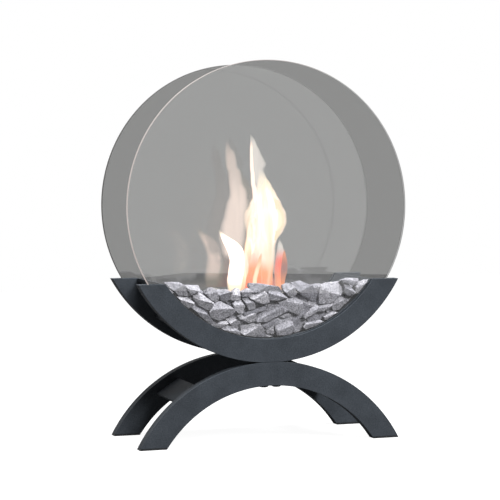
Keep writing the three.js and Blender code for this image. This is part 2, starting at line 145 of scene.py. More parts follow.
class Shader(Tree):
    """A material with one Principled shader."""

    def __init__(self, name):
        self.material = bpy.data.materials.new(name)
        self.material.use_nodes = True
        super().__init__(self.material.node_tree)
        self.bsdf = self.nodes["Principled BSDF"]
        self.place = self.nodes.new("ShaderNodeTexCoord").outputs["Object"]

    def set(self, **values):
        for key, value in values.items():
            self.bsdf.inputs[key.replace("_", " ")].default_value = value

    def link(self, source, socket):
        self.links.new(source, self.bsdf.inputs[socket])

    def stretched(self, x, y, z):
        mapping = self.nodes.new("ShaderNodeMapping")
        mapping.inputs["Scale"].default_value = (x, y, z)
        self.links.new(self.place, mapping.inputs["Vector"])
        return mapping.outputs["Vector"]

    def noise(self, scale, detail, roughness, vector=None, distortion=0.0):
        node = self.nodes.new("ShaderNodeTexNoise")
        node.inputs["Scale"].default_value = scale
        node.inputs["Detail"].default_value = detail
        node.inputs["Roughness"].default_value = roughness
        node.inputs["Distortion"].default_value = distortion
        self.links.new(vector or self.place, node.inputs["Vector"])
        return node.outputs["Fac"]

    def cells(self, scale):
        node = self.nodes.new("ShaderNodeTexVoronoi")
        node.inputs["Scale"].default_value = scale
        self.links.new(self.place, node.inputs["Vector"])
        return node.outputs["Distance"]

    def ramp(self, source, *stops, smooth=False):
        """Stops are (position, colour or grey level)."""
        node = self.nodes.new("ShaderNodeValToRGB")
        if smooth:
            node.color_ramp.interpolation = "EASE"
        elements = node.color_ramp.elements
        while len(elements) < len(stops):
            elements.new(0.5)
        for element, (position, colour) in zip(elements, stops):
            element.position = position
            if isinstance(colour, (int, float)):
                colour = (colour, colour, colour)
            element.color = (*colour, 1.0)
        self.links.new(source, node.inputs["Fac"])
        return node.outputs["Color"]

    def attribute(self, name):
        node = self.nodes.new("ShaderNodeAttribute")
        node.attribute_name = name
        return node.outputs["Fac"]

    def sideways(self):
        node = self.nodes.new("ShaderNodeSeparateXYZ")
        self.links.new(self.place, node.inputs[0])
        return node.outputs["X"]

    def bump(self, height, strength, distance, normal=None):
        node = self.nodes.new("ShaderNodeBump")
        node.inputs["Strength"].default_value = strength
        node.inputs["Distance"].default_value = distance
        self.links.new(height, node.inputs["Height"])
        if normal is not None:
            self.links.new(normal, node.inputs["Normal"])
        return node.outputs["Normal"]


# --------------------------------------------------
# Materials. A noise has its scale per metre, its detail and its roughness; a bump has its
# strength and its depth in metres
# --------------------------------------------------


def powder_coat():
    """Matt anthracite powder coat with a fine orange peel."""
    dark, light = (0.027, 0.032, 0.038), (0.049, 0.055, 0.064)
    s = Shader("powder_coat")
    grain = s.noise(620, 4, 0.7)
    cloud = s.noise(45, 2, 0.5)
    fine = s.ramp(grain, (0.32, dark), (0.68, light))
    broad = s.ramp(cloud, (0.3, 0.88), (0.7, 1.12))
    s.link(s.mix(1.0, fine, broad, "MULTIPLY"), "Base Color")
    s.link(s.ramp(grain, (0.3, 0.58), (0.7, 0.72)), "Roughness")
    s.set(Metallic=0.0, Specular_IOR_Level=0.12)
    s.link(s.bump(s.noise(900, 3, 0.6), 0.5, 0.00012), "Normal")
    return s.material


def clear_glass():
    """Toughened float glass with a faint green-grey body and a trace of dust."""
    clean, dusty = (0.99, 0.993, 0.99), (0.982, 0.986, 0.983)
    s = Shader("clear_glass")
    s.set(Transmission_Weight=1.0, IOR=1.6, Metallic=0.0, Roughness=0.0)
    s.link(s.ramp(s.noise(14, 4, 0.6), (0.3, clean), (0.8, dusty)), "Base Color")
    return s.material


def glass_rim(name, glow, far_glow, body, mirror=0.0):
    """The ground rim of a pane with painted light: its emission stands in for light carried through the
    glass, glow on its left side, far_glow on its right.
    """
    s = Shader(name)
    ground = s.noise(240, 3, 0.6)
    s.set(Base_Color=(body, body, body, 1), Specular_IOR_Level=mirror, Emission_Strength=1.0)
    across = s.maths("MULTIPLY_ADD", s.sideways(), 1 / (2 * GLASS_RADIUS), 0.5)
    s.link(s.ramp(across, (0.35, glow), (0.8, far_glow)), "Emission Color")
    s.link(s.ramp(ground, (0.3, 0.3), (0.7, 0.5)), "Roughness")
    return s.material


def crushed_stone():
    """Pale grey crushed stone: crystalline speckle, each chip a little lighter or darker."""
    dark, middle, pale = (0.11, 0.109, 0.122), (0.27, 0.268, 0.295), (0.52, 0.52, 0.55)
    s = Shader("crushed_stone")
    island = s.nodes.new("ShaderNodeNewGeometry").outputs["Random Per Island"]
    fine = s.noise(560, 5, 0.85)
    coarse = s.noise(150, 4, 0.65)
    speckle = s.ramp(fine, (0.38, dark), (0.5, middle), (0.62, pale))
    patch = s.ramp(coarse, (0.3, 0.68), (0.7, 1.2))
    each = s.ramp(island, (0.0, (0.66, 0.66, 0.69)), (1.0, (1.16, 1.15, 1.15)))
    s.link(s.mix(1.0, s.mix(1.0, speckle, patch, "MULTIPLY"), each, "MULTIPLY"), "Base Color")
    s.set(Roughness=0.92, Metallic=0.0, Specular_IOR_Level=0.25)
    rough = s.bump(s.noise(420, 5, 0.7), 0.9, 0.0006)
    s.link(s.bump(fine, 0.6, 0.0003, rough), "Normal")
    return s.material


def brushed_steel():
    """Stainless sheet brushed along its length, with a straw heat tint in patches."""
    dull, bright, straw = (0.46, 0.46, 0.45), (0.62, 0.62, 0.605), (0.42, 0.33, 0.22)
    s = Shader("brushed_steel")
    lines = s.noise(60, 4, 0.7, s.stretched(1.0, 40.0, 40.0))
    heat = s.ramp(s.noise(55, 3, 0.6), (0.42, 0.0), (0.75, 0.4))
    s.link(s.mix(heat, s.ramp(lines, (0.3, dull), (0.7, bright)), straw), "Base Color")
    s.link(s.ramp(lines, (0.3, 0.24), (0.7, 0.42)), "Roughness")
    s.set(Metallic=1.0)
    s.link(s.bump(lines, 0.25, 0.00008), "Normal")
    return s.material


def black_screw():
    """Screw steel with a black finish, slightly worn."""
    black, worn = (0.020, 0.022, 0.025), (0.045, 0.048, 0.053)
    s = Shader("black_screw")
    stain = s.noise(260, 4, 0.6)
    s.link(s.ramp(stain, (0.3, black), (0.7, worn)), "Base Color")
    s.link(s.ramp(stain, (0.3, 0.35), (0.7, 0.5)), "Roughness")
    s.set(Metallic=1.0)
    s.link(s.bump(s.noise(1500, 2, 0.5), 0.2, 0.00005), "Normal")
    return s.material


def black_silicone():
    """Matt black silicone profile."""
    s = Shader("black_silicone")
    skin = s.noise(500, 3, 0.6)
    s.link(s.ramp(skin, (0.3, (0.010, 0.010, 0.011)), (0.7, (0.018, 0.018, 0.020))), "Base Color")
    s.link(s.ramp(skin, (0.3, 0.6), (0.7, 0.8)), "Roughness")
    s.link(s.bump(skin, 0.3, 0.0001), "Normal")
    return s.material


def moulded_plastic():
    """Black moulded plastic with a spark-eroded grain."""
    s = Shader("moulded_plastic")
    grain = s.cells(900)
    tone = s.noise(80, 2, 0.5)
    s.link(s.ramp(tone, (0.3, (0.012, 0.013, 0.014)), (0.7, (0.020, 0.021, 0.023))), "Base Color")
    s.link(s.ramp(grain, (0.0, 0.55), (0.6, 0.75)), "Roughness")
    s.link(s.bump(grain, 0.35, 0.0001), "Normal")
    return s.material


def ceramic_wool():
    """Off-white absorbent ceramic fibre, scorched in patches."""
    shaded, pale, scorched = (0.55, 0.52, 0.46), (0.8, 0.78, 0.72), (0.12, 0.09, 0.07)
    s = Shader("ceramic_wool")
    fibres = s.noise(160, 5, 0.75, s.stretched(1.0, 3.0, 6.0), 1.5)
    scorch = s.ramp(s.noise(50, 3, 0.6), (0.45, 0.0), (0.7, 0.65))
    s.link(s.mix(scorch, s.ramp(fibres, (0.3, shaded), (0.7, pale)), scorched), "Base Color")
    s.set(Roughness=0.98, Specular_IOR_Level=0.1)
    s.link(s.bump(fibres, 0.8, 0.0006), "Normal")
    return s.material


# Painted light for the panes' rims: emission colours that stand in for light carried through the glass.
# The front rim is brighter on its left, and its rear arris keeps a painted highlight on its right
RIM_PAINTED_LIGHT = (0.46, 0.40, 0.38)
RIM_PAINTED_DIM = (0.10, 0.10, 0.10)
ARRIS_PAINTED_HIGHLIGHT = (0.40, 0.40, 0.40)
REAR_RIM_PAINTED_DIM = (0.10, 0.10, 0.098)

COAT = powder_coat()
GLASS = clear_glass()
RIM_FRONT = glass_rim("glass_rim_front", RIM_PAINTED_LIGHT, RIM_PAINTED_DIM, 0.08, 0.2)
ARRIS_FRONT = glass_rim("glass_arris_front", RIM_PAINTED_LIGHT, ARRIS_PAINTED_HIGHLIGHT, 0.06)
RIM_REAR = glass_rim("glass_rim_rear", REAR_RIM_PAINTED_DIM, REAR_RIM_PAINTED_DIM, 0.04)
STONE = crushed_stone()
STEEL = brushed_steel()
BLACKENED = black_screw()
SILICONE = black_silicone()
PLASTIC = moulded_plastic()
WOOL = ceramic_wool()

# --------------------------------------------------
# Mesh helpers
# --------------------------------------------------

WELD = 1e-5   # corners of a CAD node nearer than this, in metres, are one corner


def add_object(name, mesh, material):
    thing = bpy.data.objects.new(name, mesh)
    bpy.context.scene.collection.objects.link(thing)
    mesh.materials.clear()
    mesh.materials.append(material)
    return thing


def solid(name, bm, material):
    """The closed shape in bm as an object, with its faces turned outwards."""
    bmesh.ops.recalc_face_normals(bm, faces=bm.faces)
    mesh = bpy.data.meshes.new(name)
    bm.to_mesh(mesh)
    bm.free()
    return add_object(name, mesh, material)


def join_loops(bm, loop, other):
    """Four-sided faces between two loops of as many corners."""
    for j in range(len(loop)):
        k = (j + 1) % len(loop)
        bm.faces.new((loop[j], loop[k], other[k], other[j]))


def smooth(thing, crease=None):
    """Shades a mesh smooth, but for the edges sharper than crease, in degrees."""
    for polygon in thing.data.polygons:
        polygon.use_smooth = True
    if crease is not None:
        thing.data.set_sharp_from_angle(angle=math.radians(crease))


def rounded(thing, width, segments=3, angle=30):
    """Rounds every sharp edge of a mesh and shades it smooth, with the flat faces kept flat."""
    smooth(thing)
    bevel = thing.modifiers.new("edges", "BEVEL")
    bevel.width = width
    bevel.segments = segments
    bevel.limit_method = "ANGLE"
    bevel.angle_limit = math.radians(angle)
    bevel.harden_normals = True
    bevel.miter_outer = "MITER_ARC"
    graph = bpy.context.evaluated_depsgraph_get()
    final = bpy.data.meshes.new_from_object(thing.evaluated_get(graph))
    thing.modifiers.clear()
    thing.data = final
    return thing


def arc_sweep(profiles, centre, cut, way, limit, steps):
    """Closed arcs about (0, centre). Each profile is a loop of (radius, y); a second loop is a hollow.
    way is 1 for an arch and -1 for a bowl. Its ends are cut level, at centre + way * cut, and nothing
    passes limit in Z."""
    bm = bmesh.new()
    ends = []
    for profile in profiles:
        rings = []
        for i in range(steps + 1):
            ring = []
            for radius, y in profile:
                start = math.asin(cut / radius)
                angle = start + (math.pi - 2 * start) * i / steps
                z = centre + way * radius * math.sin(angle)
                z = min(z, limit) if way > 0 else max(z, limit)
                ring.append(bm.verts.new((radius * math.cos(angle), y, z)))
            rings.append(ring)
        for ring, following in zip(rings, rings[1:]):
            join_loops(bm, ring, following)
        ends.append((rings[0], rings[-1]))
    for end in (0, 1):
        if len(profiles) == 1:
            bm.faces.new(ends[0][end])
        else:
            join_loops(bm, ends[0][end], ends[1][end])
    return bm


def node_shape(node, flat):
    """A CAD node's own shape. Faces that meet at less than flat, in radians, are joined into one."""
    bm = bmesh.new()
    bm.from_mesh(frame["nodes"][node].data)
    bmesh.ops.remove_doubles(bm, verts=bm.verts, dist=WELD)
    bmesh.ops.dissolve_limit(bm, angle_limit=flat, verts=bm.verts, edges=bm.edges)
    return bm


def softened(node, name, width, material):
    """A CAD node's own shape with its sharp edges rounded; it stands for that node."""
    thing = solid(name, node_shape(node, math.radians(1.0)), material)
    rounded(thing, width, segments=2, angle=25)
    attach(thing, frame["nodes"][node]["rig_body"])
    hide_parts(node)
    return thing


def flattened(thing, level, keep):
    """Draws what hangs below level up towards it, so that a screw head lies almost flush."""
    for vertex in thing.data.vertices:
        if vertex.co.z < level:
            vertex.co.z = level - (level - vertex.co.z) * keep


# --------------------------------------------------
# Bowl, legs and bars
# --------------------------------------------------

ARC_STEPS = 120
EDGE = 0.3 * MM
SHEET_EDGE = 0.4 * MM
BAR_EDGE = 0.8 * MM
SCREW_EDGE = 0.25 * MM
WASHER_EDGE = 0.2 * MM
SCREW_HEAD_KEPT = 0.3   # share of a clamp screw's head height; the photograph shows no heads

SIDES = (("front", -1), ("rear", 1))
HANDS = ("left", "right")


def depths(way):
    """Middle, front face and back face of a band or a leg in Y."""
    middle = way * BAND_MIDDLE
    return middle, middle - BAND_HALF_DEPTH, middle + BAND_HALF_DEPTH


def band(side, way):
    """One arc of the bowl, with the slot that the glass stands in."""
    middle, front, back = depths(way)
    profile = [
        (BOWL_OUTER, front), (BOWL_OUTER, back),
        (BOWL_INNER, back), (BOWL_INNER, middle + SLOT_HALF),
        (SLOT_FLOOR, middle + SLOT_HALF), (SLOT_FLOOR, middle - SLOT_HALF),
        (BOWL_INNER, middle - SLOT_HALF), (BOWL_INNER, front),
    ]
    bm = arc_sweep([profile], CENTRE_Z, CENTRE_Z - RIM_Z, -1, BOWL_BOTTOM, ARC_STEPS)
    thing = rounded(solid(f"bowl_arc_{side}", bm, COAT), EDGE)
    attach(thing, "root")
    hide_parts(f"bowl_band_{side}")


def leg(side, way):
    """One arched leg, a hollow of sheet."""
    _, front, back = depths(way)
    outside = [(LEG_OUTER, front), (LEG_OUTER, back), (LEG_INNER, back), (LEG_INNER, front)]
    high, low = LEG_OUTER - LEG_WALL, LEG_INNER + LEG_WALL
    hollow = [
        (high, front + LEG_WALL), (high, back - LEG_WALL),
        (low, back - LEG_WALL), (low, front + LEG_WALL),
    ]
    bm = arc_sweep([outside, hollow], LEG_CENTRE, LEG_FOOT - LEG_CENTRE, 1, LEG_TOP, ARC_STEPS)
    thing = rounded(solid(f"leg_arc_{side}", bm, COAT), EDGE)
    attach(thing, "root")
    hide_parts(f"leg_arch_{side}")


def trough():
    """The curved sheet between the bands, which holds the stones."""
    y = TROUGH_HALF
    profile = [(TROUGH_OUTER, -y), (TROUGH_OUTER, y), (BOWL_INNER, y), (BOWL_INNER, -y)]
    bm = arc_sweep([profile], CENTRE_Z, CENTRE_Z - RIM_Z, -1, 0, ARC_STEPS)
    thing = rounded(solid("trough_sheet", bm, COAT), SHEET_EDGE)
    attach(thing, "root")
    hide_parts("stone_trough")


for side_name, side_way in SIDES:
    band(side_name, side_way)
    leg(side_name, side_way)
trough()

for hand in HANDS:
    for place in ("bowl", "leg"):
        bar = softened(f"{place}_tie_bar_{hand}", f"{place}_bar_{hand}", BAR_EDGE, COAT)

for side_name, _ in SIDES:
    for hand in HANDS:
        node = f"foot_insert_{side_name}_{hand}"
        foot = softened(node, f"foot_{side_name}_{hand}", SHEET_EDGE, PLASTIC)
    for number in (1, 2):
        for part, round_by in (("screw", SCREW_EDGE), ("washer", WASHER_EDGE)):
            node = f"clamp_{part}_{side_name}_{number}"
            piece = softened(node, f"{part}_{side_name}_{number}", round_by, BLACKENED)
            flattened(piece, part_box(f"clamp_washer_{side_name}_{number}")[1].z, SCREW_HEAD_KEPT)

# --------------------------------------------------
# Glass and its seats
# --------------------------------------------------

GLASS_STEPS = 256
GLASS_EDGE = 0.7 * MM
RIM_SLOT, ARRIS_SLOT = 1, 2   # a pane's material slots after its clear faces
FACE_NORMAL = 0.99            # a polygon that faces front or rear more than this is clear
ARRIS_NORMAL = 0.2            # one that leans to the rear more than this is the rear arris


def pane(side, way):
    """One round disc of glass with a ground rim; its rim and rear arris carry painted light."""
    bm = bmesh.new()
    rings = []
    for y in (-GLASS_THICKNESS / 2, GLASS_THICKNESS / 2):
        ring = []
        for i in range(GLASS_STEPS):
            angle = 2 * math.pi * i / GLASS_STEPS
            x, z = GLASS_RADIUS * math.cos(angle), GLASS_RADIUS * math.sin(angle)
            ring.append(bm.verts.new((x, way * BAND_MIDDLE + y, CENTRE_Z + z)))
        rings.append(ring)
        bm.faces.new(ring)
    join_loops(bm, *rings)
    thing = rounded(solid(f"glass_pane_{side}", bm, GLASS), GLASS_EDGE)
    # The rim and the rear arris get the materials with painted light, emission that stands in for light
    # carried through the glass
    thing.data.materials.append(RIM_FRONT if way < 0 else RIM_REAR)
    thing.data.materials.append(ARRIS_FRONT if way < 0 else RIM_REAR)
    for polygon in thing.data.polygons:
        if abs(polygon.normal.y) < FACE_NORMAL:
            polygon.material_index = ARRIS_SLOT if polygon.normal.y > ARRIS_NORMAL else RIM_SLOT
    thing.visible_shadow = False
    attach(thing, f"glass_{side}")
    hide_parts(f"glass_disc_{side}")


for side_name, side_way in SIDES:
    pane(side_name, side_way)
    seat = frame["nodes"][f"glass_seat_{side_name}"].data
    seat.materials.clear()
    seat.materials.append(SILICONE)

# --------------------------------------------------
# Burner
# --------------------------------------------------

WOOL_FLAT = 0.02   # radians
WOOL_CUTS = 15
WOOL_DIP = 1.2 * MM
WOOL_GRAIN = 180

for node, name, width in (
    ("burner_cradle", "cradle", 0.5 * MM),
    ("burner_tank", "tank", 0.5 * MM),
    ("burner_cover", "cover", 0.5 * MM),
    ("burner_rail_left", "rail_left", 0.25 * MM),
    ("burner_rail_right", "rail_right", 0.25 * MM),
    ("burner_lid", "lid_plate", 0.4 * MM),
    ("burner_lid_knob", "lid_knob", 0.4 * MM),
):
    coated = node == "burner_cradle"
    piece = softened(node, name, width, COAT if coated else STEEL)


def wool():
    """The absorbent block, its top face uneven."""
    bm = node_shape("burner_wool", WOOL_FLAT)
    bmesh.ops.subdivide_edges(bm, edges=bm.edges, cuts=WOOL_CUTS, use_grid_fill=True)
    for vertex in bm.verts:
        if vertex.co.z > WOOL_TOP - WELD:
            vertex.co.z -= (0.5 + 0.5 * noise.noise(vertex.co * WOOL_GRAIN)) * WOOL_DIP
    thing = solid("wool_block", bm, WOOL)
    smooth(thing, crease=50)
    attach(thing, "burner")
    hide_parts("burner_wool")


wool()

# --------------------------------------------------
# Crushed stone. Everything here is in millimetres until a chip is added to its mesh
# --------------------------------------------------

random.seed(11)

ROOM_RADIUS = 169.2        # of the trough's inside, about the middle of the glass
FRONT_Y = -65.0            # where the chips against the front pane start
FRONT_ROW_Y = -60.0
BACKING_Y = -54.0          # a second layer closes the gaps behind them
SECOND_ROW_Y = -44.5
BACK_Y = 65.0
FREE_X = 59.8              # half of the room left free for the burner and its cradle
FREE_Y = 42.8
BED_TOP_Z = 196.5
BED_RISE = 7.0
BED_REACH = 140.0
BED_SLOPE = 0.07
BED_PITCH = 24
BACKING_REACH = 118
BACKING_PITCH = 20
BACKING_DROP = 8.0
FEWEST_CORNERS = 8

# Outlines of the chips that lie against the front pane, as (x, z) in millimetres
FRONT_CHIPS = [
    [(-137, 211), (-119, 211), (-113, 208), (-105, 198), (-107, 193), (-119, 194), (-133, 204)],
    [(-111, 207), (-92, 206), (-90, 199), (-99, 198), (-103, 194), (-108, 201)],
    [(-122, 193), (-107, 191), (-99, 184), (-106, 177), (-115, 183)],
    [(-101, 199), (-92, 198), (-73, 184), (-72, 178), (-80, 174), (-91, 180), (-99, 188)],
    [(-83, 195), (-80, 201), (-74, 203), (-68, 199), (-66, 188), (-70, 184), (-76, 187)],
    [(-67, 200), (-56, 200), (-48, 196), (-51, 188), (-55, 184), (-63, 187), (-67, 194)],
    [(-49, 195), (-41, 201), (-37, 199), (-37, 187), (-44, 185), (-52, 187)],
    [(-36, 196), (-27, 201), (-24, 200), (-20, 196), (-27, 190), (-35, 190)],
    [(-23, 207), (-6, 206), (14, 202), (20, 196), (17, 191), (0, 192), (-22, 195), (-24, 203)],
    [(-26, 191), (-18, 196), (-6, 198), (1, 190), (1, 182), (-7, 180), (-17, 183), (-23, 187)],
    [(0, 197), (9, 198), (18, 194), (26, 187), (14, 184), (2, 185), (-1, 191)],
    [(21, 203), (29, 206), (35, 203), (40, 192), (34, 187), (27, 190), (22, 196)],
    [(34, 206), (47, 208), (61, 202), (71, 190), (69, 179), (63, 180), (46, 190), (37, 198)],
    [(40, 193), (45, 192), (55, 185), (53, 181), (43, 185), (38, 188)],
    [(61, 203), (73, 204), (75, 198), (71, 191), (67, 195)],
    [(74, 203), (88, 205), (103, 206), (105, 193), (98, 188), (87, 179), (71, 178), (70, 188)],
    [(98, 208), (110, 211), (125, 210), (125, 205), (117, 200), (107, 204)],
    [(105, 204), (111, 204), (121, 191), (117, 188), (110, 187), (104, 193)],
    [(120, 199), (129, 205), (137, 208), (136, 203), (124, 190), (120, 193)],
    [(94, 184), (102, 186), (107, 183), (106, 176), (100, 169), (90, 168), (88, 175)],
    [(105, 185), (112, 186), (115, 182), (109, 174), (107, 178)],
    [(69, 175), (88, 179), (91, 177), (84, 172), (77, 168), (68, 168)],
    [(50, 165), (65, 177), (69, 176), (67, 168), (59, 163), (51, 159), (48, 161)],
    [(14, 182), (24, 185), (34, 187), (47, 183), (48, 172), (41, 165), (30, 169), (20, 174)],
    [(49, 182), (63, 179), (59, 174), (49, 167)],
    [(-48, 181), (-39, 190), (-31, 178), (-34, 170), (-40, 169), (-46, 175)],
    [(-34, 187), (-30, 190), (-22, 188), (-17, 178), (-18, 174), (-26, 173), (-30, 180)],
    [(-71, 183), (-65, 185), (-52, 179), (-44, 173), (-48, 168), (-65, 160), (-77, 165), (-79, 172)],
    [(-33, 169), (-19, 173), (-1, 178), (-3, 172), (-16, 169), (-26, 165), (-32, 166)],
    [(-41, 166), (-32, 168), (-26, 164), (-17, 168), (-17, 158), (-26, 156), (-37, 161)],
    [(-16, 163), (-3, 173), (9, 179), (18, 179), (27, 170), (12, 164), (-1, 157), (-15, 157)],
    [(-8, 154), (13, 162), (16, 160), (9, 152), (0, 147), (-5, 150)],
    [(-57, 162), (-47, 164), (-35, 156), (-45, 151), (-52, 155)],
    [(-104, 179), (-99, 181), (-82, 170), (-73, 158), (-79, 157), (-92, 167)],
    [(-73, 153), (-65, 159), (-56, 160), (-55, 156), (-64, 151), (-69, 151)],
    [(-64, 150), (-58, 154), (-48, 153), (-40, 146), (-39, 141), (-50, 142), (-60, 146)],
    [(-37, 144), (-35, 152), (-18, 156), (-11, 155), (-3, 145), (-9, 140), (-16, 136), (-33, 139)],
    [(13, 157), (24, 160), (34, 156), (37, 145), (32, 138), (22, 137), (12, 139), (10, 148)],
    [(34, 164), (43, 164), (47, 152), (45, 141), (39, 145), (35, 155)],
    [(51, 154), (70, 157), (77, 154), (66, 149), (51, 145), (48, 148)],
    [(76, 161), (88, 168), (95, 166), (92, 161), (82, 155), (77, 157)],
    [(-10, 138), (-1, 140), (7, 138), (9, 136), (-13, 136)],
    [(-3, 146), (9, 151), (11, 146), (9, 140), (0, 141)],
    [(17, 162), (29, 167), (34, 165), (32, 162), (24, 160)],
    [(-55, 183), (-49, 184), (-48, 181), (-46, 174), (-52, 180)],
]
SET_BACK = {13, 14, 20, 24, 31, 38, 41, 42, 43, 44}   # chips seen in the gaps between others

# How a chip against the pane is broken
CHIP_GROWTH = 0.05         # chips overlap their outlines by this share, so that no gap shows
PANE_GAP = (0.2, 3.2)
SET_BACK_BY = 6
SET_BACK_DEPTH = 14
CHIP_DEPTH = (17, 20)
CHIP_REAR_Y = -45          # its front corners stay in front of this
DEEPEST_CORNER = 9         # a sloping face goes no deeper than this by its own slope
DEEPEST_FACE = 10          # and no deeper than this in all
SLANT_ROOM = 14            # keeps a slanted chip from coming through the pane

# How a chip of the bed is broken
CHIP_SIZE = (13, 22)
NEIGHBOUR_REACH = 70
HALF_JOINT = 0.25
BROKEN_CORNERS = 6
CORNER_REACH = (10.5, 15)
FLOOR_TURNS = (-0.1, -0.05, 0, 0.05, 0.1)
TOP_TILT = 0.35
TOP_JITTER = 3.0

# Edges and skin of every chip
CORNER_WELD = 0.4
FLAT_ANGLE = math.radians(7)
CHIPPED_EDGE = 0.3
LONGEST_EDGE = 3.2
BROAD_GRAIN, BROAD_LIFT = 110, 0.4
FINE_GRAIN, FINE_LIFT = 420, 0.35
SKIN_SINK = 0.25


def inside_room(point):
    """The nearest place to point that is inside the trough."""
    down = point.z - CENTRE_Z / MM
    away = math.hypot(point.x, down)
    if away <= ROOM_RADIUS:
        return point
    share = ROOM_RADIUS / away
    return Vector((point.x * share, point.y, CENTRE_Z / MM + down * share))


def front_chip(index, outline):
    """Corners of one chip: two broken faces that meet in a ridge towards the pane, and steep sides."""
    x0 = sum(x for x, _ in outline) / len(outline)
    z0 = sum(z for _, z in outline) / len(outline)
    behind = index in SET_BACK
    front = FRONT_Y + random.uniform(*PANE_GAP) + (SET_BACK_BY if behind else 0)
    depth = SET_BACK_DEPTH if behind else random.uniform(*CHIP_DEPTH)
    turn = random.uniform(-0.55, 0.55)
    ridge = random.uniform(-0.05, 0.5) * (max(z for _, z in outline) - z0)
    rising = random.uniform(0.5, 1.25)
    falling = random.uniform(0.08, 0.5)
    slant = random.uniform(-0.14, 0.14)
    grown = 1 + CHIP_GROWTH

    def above_ridge(x, z):
        return (z - z0) * math.cos(turn) - (x - x0) * math.sin(turn) - ridge

    points = []
    for (x, z), (next_x, next_z) in zip(outline, outline[1:] + outline[:1]):
        over, following = above_ridge(x, z), above_ridge(next_x, next_z)
        sink = rising * over if over > 0 else -falling * over
        sink = min(sink, DEEPEST_CORNER)
        y = front + sink + slant * (x - x0) + abs(slant) * SLANT_ROOM + random.uniform(0, 0.7)
        y = min(y, front + DEEPEST_FACE)
        across, up = (x - x0) * grown, (z - z0) * grown
        points.append(Vector((x0 + across, y, z0 + up)))
        points.append(Vector((x0 + across, min(y + random.uniform(2, 6), CHIP_REAR_Y), z0 + up)))
        inward = random.uniform(0.6, 0.9)
        y = front + depth - random.uniform(0, 3)
        points.append(Vector((x0 + across * inward, y, z0 + up * inward)))
        if over * following < 0:
            share = over / (over - following)
            edge_x, edge_z = x + (next_x - x) * share, z + (next_z - z) * share
            inward = random.uniform(0.8, 0.97)
            y = front + slant * (edge_x - x0) + abs(slant) * SLANT_ROOM
            points.append(Vector((x0 + (edge_x - x0) * inward, y, z0 + (edge_z - z0) * inward)))
    return [inside_room(p) for p in points]


def clipped(faces, normal, reach):
    """A convex solid, as loops of corners, cut by a plane; what lies past it is dropped."""
    kept, rim = [], []
    for face in faces:
        loop = []
        for a, b in zip(face, face[1:] + face[:1]):
            da, db = a.dot(normal) - reach, b.dot(normal) - reach
            if da <= 0:
                loop.append(a)
            if (da < 0 < db) or (db < 0 < da):
                cut = a.lerp(b, da / (da - db))
                loop.append(cut)
                rim.append(cut)
        if len(loop) > 2:
            kept.append(loop)
    if len(rim) > 2:
        middle = sum(rim, Vector()) / len(rim)
        across = normal.orthogonal().normalized()
        up = normal.cross(across)
        rim.sort(key=lambda p: math.atan2((p - middle).dot(up), (p - middle).dot(across)))
        kept.append(rim)
    return kept


def block(centre, sizes, turn):
    """A turned block, of half lengths sizes, as six loops of corners."""
    loops = []
    for axis in range(3):
        for way in (-1, 1):
            loop = []
            for a, b in ((-1, -1), (1, -1), (1, 1), (-1, 1)):
                place = [a, b]
                place.insert(axis, way)
                corner = Vector([sign * size for sign, size in zip(place, sizes)])
                loop.append(centre + turn @ corner)
            loops.append(loop)
    return loops


def random_direction():
    z = random.uniform(-1, 1)
    angle = random.uniform(0, 2 * math.pi)
    flat = math.sqrt(1 - z * z)
    return Vector((flat * math.cos(angle), flat * math.sin(angle), z))


def bed_top(x, y):
    """Top of the stones; it rises to both sides and falls a little towards the rear."""
    return BED_TOP_Z + BED_RISE * (x / BED_REACH) ** 2 - BED_SLOPE * (y - FRONT_Y)


def sites_in(x_low, x_high, y_low, y_high, pitch):
    """Stone centres of one block of the bed, on a jittered lattice."""
    sites = []
    across = max(1, round((x_high - x_low) / pitch))
    along = max(1, round((y_high - y_low) / pitch))
    for i in range(across):
        for j in range(along):
            x = x_low + (x_high - x_low) * (i + 0.5 + random.uniform(-0.3, 0.3)) / across
            y = y_low + (y_high - y_low) * (j + 0.5 + random.uniform(-0.28, 0.28)) / along
            floor = CENTRE_Z / MM - math.sqrt(max(0, ROOM_RADIUS ** 2 - x ** 2))
            top = bed_top(x, y)
            layers = max(1, round((top - floor) / pitch))
            for k in range(layers):
                z = floor + (top - floor) * (k + 0.5 + random.uniform(-0.25, 0.25)) / layers
                sites.append(Vector((x, y, z)))
    return sites


def walls_of(x_low, x_high, y_low, y_high):
    """Planes, as (normal, reach), that keep the chips of one block of the bed out of its neighbours."""
    walls = [(Vector((0, -1, 0)), -y_low), (Vector((0, 1, 0)), y_high)]
    if x_high == -FREE_X:
        walls.append((Vector((1, 0, 0)), x_high))
    if x_low == FREE_X:
        walls.append((Vector((-1, 0, 0)), -x_low))
    return walls


def bed_chip(site, sites, walls, lower=0.0):
    """One angular chip about a site: its share of the space, with more corners broken off."""
    turn = Matrix.Rotation(random.uniform(0, math.pi), 3, random_direction())
    faces = block(site, [random.uniform(*CHIP_SIZE) for _ in range(3)], turn)
    for other in sites:
        step = other - site
        distance = step.length
        if 0 < distance < NEIGHBOUR_REACH:
            step /= distance
            faces = clipped(faces, step, step.dot(site) + distance / 2 - HALF_JOINT)
    for normal, reach in walls:
        faces = clipped(faces, normal, reach)
    for _ in range(BROKEN_CORNERS):
        normal = random_direction()
        faces = clipped(faces, normal, normal.dot(site) + random.uniform(*CORNER_REACH))
    angle = math.atan2(site.x, CENTRE_Z / MM - site.z)
    for turn_by in FLOOR_TURNS:
        normal = Vector((math.sin(angle + turn_by), 0, -math.cos(angle + turn_by)))
        faces = clipped(faces, normal, ROOM_RADIUS + normal.z * CENTRE_Z / MM)
    tilt_x = random.uniform(-TOP_TILT, TOP_TILT)
    tilt_y = random.uniform(-TOP_TILT, TOP_TILT)
    tilt = Vector((tilt_x, tilt_y, 1)).normalized()
    height = bed_top(site.x, site.y) + random.uniform(-TOP_JITTER, TOP_JITTER) - lower
    faces = clipped(faces, tilt, tilt.dot(Vector((site.x, site.y, height))))
    return [corner for face in faces for corner in face]


